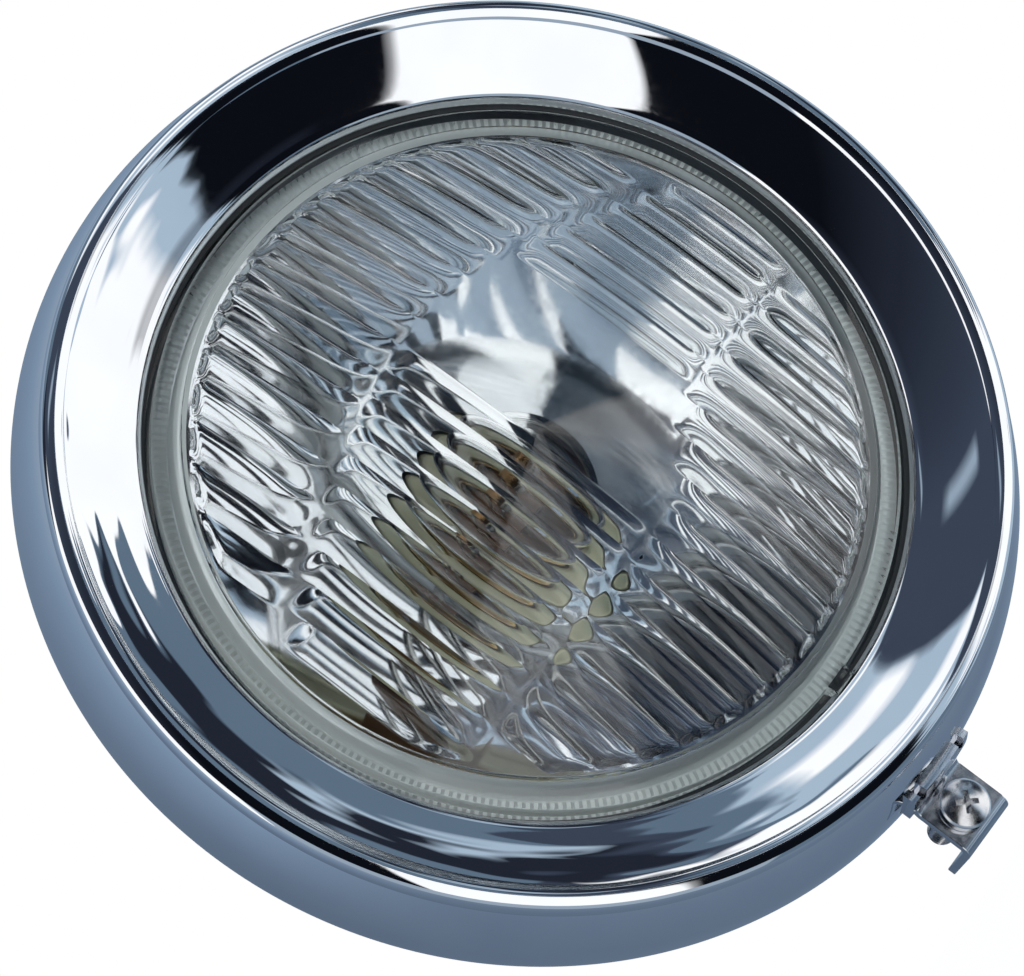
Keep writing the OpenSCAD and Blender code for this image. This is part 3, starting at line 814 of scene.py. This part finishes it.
@dataclass
class Lens(Assembly):
    """The pressed glass: flange, step, margin and a dome with three blocks of flutes."""

    wall_r: float = 51.6
    flange_r: float = 56.5
    front_y: float = -8.1
    back_y: float = -5.6
    margin_y: float = -10.6
    shoulder_r: float = 48.6
    dome_r: float = 47.6
    dome_y: float = -13.0
    dome_h: float = 7.5
    thickness: float = 3.4
    corner_bow: float = -0.5
    hollow_r: float = 46.5
    hollow_l: float = 1.0
    flank_w: float = 2.6
    fluted_r: float = 46.0
    seam: float = 0.3
    upper_z: float = 22.0
    upper_arch: float = 75.0
    lower_z: float = 20.5
    kick_rise: float = 8.5
    kick_from: float = 3.0
    kick_to: float = 18.0
    plain_from: float = -4.0
    plain_to: float = 19.0
    gap: float = 1.0
    key_w: float = 3.9
    key_out: float = 1.6
    wide: Fluting = Fluting(4.8, 2.3, 0.75, 5.0)
    fine: Fluting = Fluting(4.2, 2.05, 0.5, 2.5)
    edge_run: float = 0.9
    rib_from: float = 49.3
    rib_to: float = 51.4
    rib_depth: float = 0.42
    frost_in: float = 0.6
    least: float = 7.0
    steps: int = 576
    dome_steps: int = 30
    cell: float = 0.3
    rows: int = 130
    sides: int = 120

    @property
    def dome_ball(self) -> float:
        """Radius of the dome's outer sphere."""
        return (self.dome_r ** 2 + self.dome_h ** 2) / (2 * self.dome_h)

    @property
    def centre_y(self) -> float:
        """The y of both spheres' centre."""
        return self.dome_y - self.dome_h + self.dome_ball

    def kick(self, x: float) -> float:
        """Where the lower block ends above, across the glass at x."""
        way = (x - self.kick_from) / (self.kick_to - self.kick_from)
        return -self.lower_z + self.kick_rise * min(1.0, max(0.0, way))

    def head(self, x: float) -> float:
        """Where the upper block ends below, across the glass at x."""
        return self.upper_z - x * x / (2 * self.upper_arch)

    def inner_y(self, x: float, z: float) -> float:
        """The y of the glass's inner surface.

        Args:
            x: Place across the glass.
            z: Height on the glass.

        Returns:
            The surface's y, with its flutes.
        """
        ball = self.dome_ball - self.thickness
        room = (self.fluted_r - math.hypot(x, z)) / self.edge_run
        ball += min(1.0, max(0.0, room)) * max(
            (kind.relief(x, z, low, high) for kind, low, high in self.blocks(x)), default=0.0)
        return self.centre_y - math.sqrt(ball ** 2 - x ** 2 - z ** 2)

    def blocks(self, x: float) -> Iterable[tuple[Fluting, float, float]]:
        """The blocks of flutes that cross the glass at x, each with its two ends."""
        for kind in (self.wide, self.fine):
            middle = round(x / kind.pitch) * kind.pitch
            room = self.fluted_r ** 2 - (abs(middle) + kind.radius) ** 2
            if room <= 0:
                continue
            edge = math.sqrt(room)
            if kind is self.wide:
                if edge > self.head(middle) + self.least:
                    yield kind, self.head(middle), math.inf
                if edge > self.least - self.kick(middle):
                    yield kind, -math.inf, self.kick(middle)
            elif not self.plain_from < middle < self.plain_to:
                low = self.kick(middle + kind.radius) + self.gap
                high = self.head(abs(middle) + kind.radius) - self.gap
                if min(edge, high) > max(-edge, low) + self.least:
                    yield kind, low, high

    def body(self, bm: BMesh) -> None:
        """Spins all of the glass but its fluted inside."""
        near = 0.1
        wall_edge = 0.4
        ball = self.dome_ball - self.thickness
        hollow = [(r, self.centre_y - math.sqrt(ball ** 2 - r ** 2))
                  for r in (self.fluted_r + self.seam, self.hollow_r)]
        ribs = [(self.rib_from + (self.rib_to - self.rib_from) * i / 3, self.back_y)
                for i in range(4)]
        dome = []
        for i in range(1, self.dome_steps + 1):
            r = self.dome_r * (1 - i / self.dome_steps)
            dome.append((r, self.centre_y - math.sqrt(self.dome_ball ** 2 - r ** 2)))
        corner = bow((self.shoulder_r, self.margin_y), (self.dome_r, self.dome_y),
                     self.corner_bow, 6)
        outside = softened([
            (self.flange_r, self.back_y), (self.flange_r, self.front_y),
            (self.wall_r, self.front_y), (self.wall_r, self.margin_y + wall_edge),
            (self.wall_r - wall_edge, self.margin_y), (self.shoulder_r, self.margin_y)],
            wall_edge / 2, 2)
        path = [*hollow, (self.hollow_r, self.margin_y + self.hollow_l),
                (self.hollow_r + self.flank_w, self.back_y), *ribs, *outside, *corner[1:], *dome]
        spin_outline(bm, path, self.steps, False)
        step = FULL_TURN / self.steps
        for vert in bm.verts:
            r = math.hypot(vert.co.x, vert.co.z)
            on_back = abs(vert.co.y - self.back_y) < near
            if on_back and self.rib_from + near < r < self.rib_to - near:
                odd = round(math.atan2(vert.co.z, vert.co.x) / step) % 2
                vert.co.y -= self.rib_depth * odd
            on_wall = abs(r - self.wall_r) < 0.5 and vert.co.y < self.front_y + near
            if on_wall and abs(vert.co.x) < self.key_w / 2 and vert.co.z < 0:
                vert.co.z -= self.key_out

    def flutes(self, bm: BMesh) -> None:
        """Adds the fluted inside as a grid that is trimmed to a round field."""
        half = self.cell * math.ceil(self.fluted_r / self.cell)
        columns = round(2 * half / self.cell)
        grid = bmesh.ops.create_grid(bm, x_segments=columns, y_segments=self.rows, size=half)
        verts = grid["verts"]
        bmesh.ops.rotate(bm, cent=(0, 0, 0), matrix=Matrix.Rotation(math.pi / 2, 3, "X"),
                         verts=verts)
        away = Vector((0, AWAY, 0))
        bmesh.ops.translate(bm, vec=away, verts=verts)
        for i in range(self.sides):
            a = FULL_TURN * (i + 0.5) / self.sides
            way = Vector((math.cos(a), 0, math.sin(a)))
            faces = [f for f in bm.faces if f.calc_center_median().y > AWAY / 2
                     and max(v.co.dot(way) for v in f.verts) > self.fluted_r - 0.01]
            geom = list({v for f in faces for v in f.verts}
                        | {e for f in faces for e in f.edges}) + faces
            bmesh.ops.bisect_plane(bm, geom=geom, plane_co=way * self.fluted_r + away,
                                   plane_no=way, clear_outer=True)
        for vert in bm.verts:
            if vert.co.y > AWAY / 2:
                vert.co.y = self.inner_y(vert.co.x, vert.co.z)

    def build(self) -> None:
        """Builds the glass and dresses its gasket."""
        bm = bmesh.new()
        self.body(bm)
        self.flutes(bm)
        bmesh.ops.remove_doubles(bm, verts=[v for v in bm.verts if v.is_boundary], dist=WELD)
        open_edges = [e for e in bm.edges if e.is_boundary]
        bmesh.ops.triangle_fill(bm, use_beauty=True, use_dissolve=False, edges=open_edges,
                                normal=(0, 1, 0))
        LOG.info("glass: %d open edges left", sum(1 for e in bm.edges if e.is_boundary))
        bmesh.ops.recalc_face_normals(bm, faces=bm.faces[:])
        for face in bm.faces:
            middle = face.calc_center_median()
            r = math.hypot(middle.x, middle.z)
            at_margin = self.hollow_r + self.frost_in < r < self.wall_r
            behind = face.normal.y > 0.2 and middle.y > self.margin_y
            face.material_index = int(at_margin and behind)
        self.place(bm, "fluted_glass", [Finish.LENS, Finish.RIBS], "lens", "lens_glass", 25.0)
        self.dress(lens_gasket=Finish.RUBBER)


@dataclass
class Reflector(Assembly):
    """The reflector and the spring strips that press it forwards."""

    focal: float = 19.0
    thickness: float = 0.7
    front_y: float = -4.4
    dish_r: float = 50.2
    flange_r: float = 57.2
    bend: float = 0.9
    neck_r: float = 17.0
    neck_l: float = 8.0
    neck_lip: float = 2.4
    dish_steps: int = 64
    steps: int = 240

    @property
    def mid_y(self) -> float:
        """The y of the flange's centre line."""
        return self.front_y + self.thickness / 2

    @property
    def apex_y(self) -> float:
        """The y of the paraboloid's apex."""
        return self.mid_y + self.bend + self.dish_r ** 2 / (4 * self.focal)

    @property
    def focus_y(self) -> float:
        """The y of the focus."""
        return self.apex_y - self.focal

    @property
    def neck_y(self) -> float:
        """Where the neck starts."""
        return self.apex_y - self.neck_r ** 2 / (4 * self.focal)

    def build(self) -> None:
        """Builds the reflector and dresses the strips behind it."""
        span = self.neck_r - self.dish_r
        dish = [(r, self.apex_y - r * r / (4 * self.focal))
                for r in (self.dish_r + span * i / self.dish_steps
                          for i in range(1, self.dish_steps + 1))]
        end = self.neck_y + self.neck_l
        path = [(self.flange_r, self.mid_y),
                *arc((self.dish_r + self.bend, self.mid_y + self.bend), self.bend, -90, -180, 8),
                *dish, (self.neck_r, end - self.bend),
                *arc((self.neck_r + self.bend, end - self.bend), self.bend, 180, 90, 8)[1:],
                (self.neck_r + self.neck_lip, end)]
        bm = turned(sheet(path, self.thickness), self.steps)
        for face in bm.faces:
            middle = face.calc_center_median()
            out = Vector((middle.x, 0, middle.z)).normalized()
            face.material_index = int(face.normal.y + face.normal.dot(out) > 0)
        self.place(bm, "silvered_dish", [Finish.SILVER, Finish.REFLECTOR_BACK], "reflector",
                   "silvered_reflector")
        self.dress(retaining_clips=Finish.SPRING)


@dataclass
class Bulb(Assembly):
    """The twin-filament bulb: its glass, stem, wires, filaments, shield and cap."""

    reflector: Reflector = field(default_factory=Reflector)
    globe_r: float = 12.5
    neck_r: float = 9.5
    glass_t: float = 0.8
    cap_y: float = 27.21
    root_l: float = 4.0
    side_steps: int = 16
    steps: int = 96

    def build(self) -> None:
        """Builds the glass and dresses the filaments and the rest."""
        self.place(turned(self.glass(), self.steps), "bulb_globe", [Finish.BULB], "bulb_glass",
                   "bulb_glass")
        self.dress(bulb_stem=Finish.STEM, lead_wires=Finish.NICKEL, main_filament=Finish.TUNGSTEN,
                   dip_filament=Finish.TUNGSTEN, dip_shield=Finish.SHIELD,
                   bulb_cap=Finish.CAP_BRASS, cap_insulator=Finish.VITRITE,
                   cap_contacts=Finish.SOLDER)

    def glass(self) -> list[Point]:
        """The closed outline of the bulb's glass."""
        return self.skin(0.0) + self.skin(self.glass_t)[::-1]

    def skin(self, inset: float) -> list[Point]:
        """One side of the glass, from its neck to its crown.

        Args:
            inset: How far the side lies inside the outer one.

        Returns:
            The side's points.
        """
        centre = self.reflector.focus_y - 1
        root = self.cap_y - 1
        side = []
        for i in range(1, self.side_steps + 1):
            part = i / self.side_steps
            r = self.neck_r + (self.globe_r - self.neck_r) * (1 - math.cos(math.pi * part)) / 2
            side.append((r - inset, root + (centre - root) * part))
        crown = arc((0, centre), self.globe_r - inset, 0, -90, 24)[1:]
        neck = self.neck_r - inset
        return [(neck, self.cap_y + self.root_l), (neck, root), *side, *crown]


@dataclass
class Holder(Assembly):
    """The bulb holder in the reflector's neck, with its contacts, springs and terminals."""

    def build(self) -> None:
        """Dresses the holder's pieces."""
        self.dress(bulb_holder=Finish.PASSIVATED, holder_clips=Finish.SPRING,
                   earth_blade=Finish.BRASS, contact_carrier=Finish.RESIN,
                   contact_plungers=Finish.BRASS, contact_springs=Finish.SPRING,
                   terminal_blades=Finish.BRASS)


# ---- Studio ----


class Tone(Enum):
    """Tones of the cloths and screens round the lamp, as metal and glass show them."""

    BLACK = (0.004, 0.005, 0.008)
    NIGHT = (0.018, 0.023, 0.036)
    SLATE = (0.05, 0.066, 0.10)
    STEEL = (0.13, 0.19, 0.26)
    MIST = (0.46, 0.58, 0.70)
    WHITE = (1.2, 1.2, 1.2)
    PALE = (0.36, 0.44, 0.53)
    HAZE = (0.23, 0.32, 0.44)
    GROUND = (0.125, 0.17, 0.24)


@dataclass(frozen=True)
class Fan:
    """A screen that spreads out from the line of sight as the rim's flat parts mirror it."""

    start: float
    tone: Tone
    soft: float = 0.5


@dataclass(frozen=True)
class Hoop:
    """A curved screen between two angles round the line of sight and two angles off it."""

    start: float
    end: float
    inner: float
    outer: float
    tone: Tone


@dataclass
class Studio:
    """Floor, world, lamps and the camera of the photograph, in metres.

    The screens are placed by their angle round the line of sight and by the cosine of their angle
    off it. An edge is a pair of values between which one screen gives way to the next.
    """

    floor_z: float = -0.30
    floor_half: float = 4.0
    floor_glow: float = 1.07
    glow_share: float = 0.8
    daylight: Colour = (0.95, 0.97, 1.0)
    day_power: float = 0.8
    camera_at: tuple[float, float, float] = (-0.1983, -0.4712, -0.0595)
    right: tuple[float, float, float] = (0.5910, -0.1461, -0.7933)
    up: tuple[float, float, float] = (0.7106, -0.3710, 0.5978)
    back: tuple[float, float, float] = (-0.3817, -0.9171, -0.1154)
    lens: float = 130.7
    sensor: float = 36.0
    lamp_power: float = 9.0
    fans: tuple[Fan, ...] = ()
    far_fans: tuple[Fan, ...] = ()
    hoops: tuple[Hoop, ...] = ()
    twist: float = 11.0
    ruffle: float = 0.5
    ruffle_turn: float = 0.35
    ruffle_x: tuple[float, float] = (0.0, 0.5)
    fold_scale: float = 5.0
    far_edge: tuple[float, float] = (0.345, 0.33)
    rear_edge: tuple[float, float] = (-0.10, -0.13)
    hoop_soft: tuple[float, float] = (0.006, 0.02)
    rear_rise: tuple[float, float] = (-1.0, -0.1)
    low_edge: tuple[float, float] = (0.1, -0.5)
    low_share: float = 0.75

    def build(self) -> None:
        """Sets the stage round the lamp."""
        self.camera()
        self.world()
        self.floor()
        self.lamp("key_light", (-0.5, -0.9, 0.9), 0.8)
        self.lamp("rear_light", (0.7, 0.9, 0.8), 0.9)

    def camera(self) -> None:
        """The camera at the photograph's place, turn and field of view."""
        data = bpy.data.cameras.new("camera")
        data.lens = self.lens
        data.sensor_width = self.sensor
        data.clip_start = 0.01
        eye = in_scene("camera", data)
        turn = Matrix((self.right, self.up, self.back)).transposed().to_4x4()
        eye.matrix_world = Matrix.Translation(self.camera_at) @ turn
        bpy.context.scene.camera = eye

    def world(self) -> None:
        """A world that is white to the camera, even as light, and screened for mirrors."""
        world = bpy.data.worlds.new("studio")
        bpy.context.scene.world = world
        world.use_nodes = True
        world.cycles.sampling_method = "NONE"
        s = Shader("studio", world.node_tree)
        rays = s.add("ShaderNodeLightPath")
        mirrored = s.add("ShaderNodeMath", {0: rays.outputs["Is Glossy Ray"],
                                            1: rays.outputs["Is Transmission Ray"]},
                         operation="MAXIMUM")
        light = s.add("ShaderNodeBackground", {"Color": (*self.daylight, 1),
                                               "Strength": self.day_power})
        white = s.add("ShaderNodeBackground", {"Color": (1, 1, 1, 1)})
        screens = s.add("ShaderNodeBackground", {"Color": self.screens(s)})
        plain = s.mix(rays.outputs["Is Camera Ray"], light, white)
        s.show(s.mix(mirrored.outputs[0], plain, screens))

    def screens(self, s: Shader) -> Socket:
        """The screens' colour by direction.

        Args:
            s: The world's shader.

        Returns:
            The socket of the colour.
        """
        to_lamp = -Vector(self.camera_at).normalized()
        axis = Vector((to_lamp.x, -to_lamp.y, to_lamp.z))
        across = Vector((-axis.y, axis.x, 0)).normalized()
        turn = Matrix((across, axis.cross(across), axis)).to_euler()
        way = s.add("ShaderNodeTexCoord").outputs["Generated"]
        place = s.add("ShaderNodeMapping", {"Vector": way, "Rotation": turn}).outputs["Vector"]
        parts = s.add("ShaderNodeSeparateXYZ", {"Vector": place})
        folds = s.add("ShaderNodeTexNoise", {"Vector": place, "Scale": self.fold_scale,
                                             "Detail": 1.0})
        ruffled = s.sum(folds.outputs["Fac"], self.ruffle, -self.ruffle / 2)
        ruffled = s.product(ruffled, s.ranged(parts.outputs["X"], 0.0, 1.0, *self.ruffle_x))
        turning = s.add("ShaderNodeTexGradient", {"Vector": place}, gradient_type="RADIAL")
        angle = s.sum(parts.outputs["Z"], self.twist / 360, turning.outputs["Fac"])
        angle = s.sum(ruffled, self.ruffle_turn, angle)
        off = s.sum(ruffled, 1.0, parts.outputs["Z"])
        near, far = (s.tint(angle, self.stops(fans)) for fans in (self.fans, self.far_fans))
        front = s.blend(s.ranged(off, 0.0, 1.0, *self.far_edge), near, far)
        for hoop in self.hoops:
            ends = (self.share(a) for a in (hoop.start, hoop.end))
            sides = (math.cos(math.radians(a)) for a in (hoop.outer, hoop.inner))
            around = s.within(angle, *ends, self.hoop_soft[0])
            depth = s.within(off, *sides, self.hoop_soft[1])
            front = s.blend(s.product(around, depth), front, (*hoop.tone.value, 1))
        height = s.ranged(parts.outputs["Z"], 0.0, 1.0, *self.rear_rise)
        rear = s.tint(height, [(0.0, Tone.GROUND.value), (0.65, Tone.HAZE.value),
                               (1.0, Tone.PALE.value)])
        low = s.ranged(parts.outputs["Y"], 0.0, self.low_share, *self.low_edge)
        rear = s.blend(low, rear, (*Tone.GROUND.value, 1))
        return s.blend(s.ranged(parts.outputs["Z"], 0.0, 1.0, *self.rear_edge), front, rear)

    def share(self, angle: float) -> float:
        """The share of the full turn at which an angle lies, as the gradient counts it."""
        return (angle + self.twist + 180) / 360

    def stops(self, fans: Sequence[Fan]) -> list[tuple[float, Colour]]:
        """A ramp's stops round the full turn, two at each edge between fans."""
        stops = []
        for last, fan in zip((fans[-1], *fans), fans):
            for side, tone in ((-0.5, last.tone), (0.5, fan.tone)):
                spot = self.share(fan.start + side * fan.soft)
                stops.append((min(1.0, max(0.0, spot)), tone.value))
        return stops

    def floor(self) -> None:
        """A pale floor under the lamp, white to the camera but for the shadow."""
        bm = bmesh.new()
        bmesh.ops.create_grid(bm, x_segments=1, y_segments=1, size=self.floor_half)
        bmesh.ops.translate(bm, vec=(0, 0, self.floor_z), verts=bm.verts[:])
        floor = in_scene("floor", bm)
        s = Shader("floor_white")
        plain = s.add("ShaderNodeBsdfDiffuse", {"Color": (0.9, 0.9, 0.9, 1)})
        glow = s.add("ShaderNodeEmission", {"Color": (1, 1, 1, 1), "Strength": self.floor_glow})
        seen = s.add("ShaderNodeLightPath").outputs["Is Camera Ray"]
        part = s.add("ShaderNodeMath", {0: seen, 1: self.glow_share}, operation="MULTIPLY")
        s.show(s.mix(part.outputs[0], plain, glow))
        floor.data.materials.append(s.material)
        floor.visible_glossy = False
        floor.visible_transmission = False

    def lamp(self, name: str, place: Sequence[float], size: float) -> None:
        """A soft square lamp that looks at the origin.

        Args:
            name: The lamp's name.
            place: Where it stands, in metres.
            size: Its side in metres.
        """
        data = bpy.data.lights.new(name, "AREA")
        data.shape = "SQUARE"
        data.size = size
        data.energy = self.lamp_power
        item = in_scene(name, data)
        way = Vector(place)
        turn = way.to_track_quat("Z", "Y").to_matrix().to_4x4()
        item.matrix_world = Matrix.Translation(way) @ turn
        item.visible_glossy = False
        item.visible_transmission = False


FANS = (
    Fan(-162, Tone.WHITE), Fan(-125, Tone.BLACK), Fan(-87, Tone.MIST, 3), Fan(-74, Tone.WHITE, 6),
    Fan(-24, Tone.STEEL), Fan(28, Tone.SLATE), Fan(44, Tone.STEEL), Fan(58, Tone.MIST),
    Fan(86, Tone.SLATE), Fan(132, Tone.NIGHT, 34), Fan(165, Tone.BLACK, 26),
)
FAR_FANS = (
    Fan(-112, Tone.STEEL), Fan(-70, Tone.MIST), Fan(20, Tone.STEEL), Fan(95, Tone.NIGHT),
    Fan(110, Tone.WHITE), Fan(172, Tone.PALE),
)
HOOPS = (
    Hoop(-22, 40, 34, 56, Tone.NIGHT), Hoop(36, 84, 55, 72, Tone.WHITE),
    Hoop(62, 84, 18, 34, Tone.WHITE), Hoop(4, 26, 32, 38, Tone.MIST),
    Hoop(113, 116, 24, 48, Tone.MIST), Hoop(-112, -58, -1, 11, Tone.NIGHT),
)


def main() -> None:
    """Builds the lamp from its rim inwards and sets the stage."""
    logging.basicConfig(level=logging.INFO, format="%(name)s: %(message)s")
    bpy.context.scene.view_settings.view_transform = "Standard"
    rim = Rim()
    rim.build()
    Tab(rim).build()
    Lens().build()
    reflector = Reflector()
    reflector.build()
    Bulb(reflector).build()
    Holder().build()
    Studio(fans=FANS, far_fans=FAR_FANS, hoops=HOOPS).build()


if __name__ == "__main__":
    main()
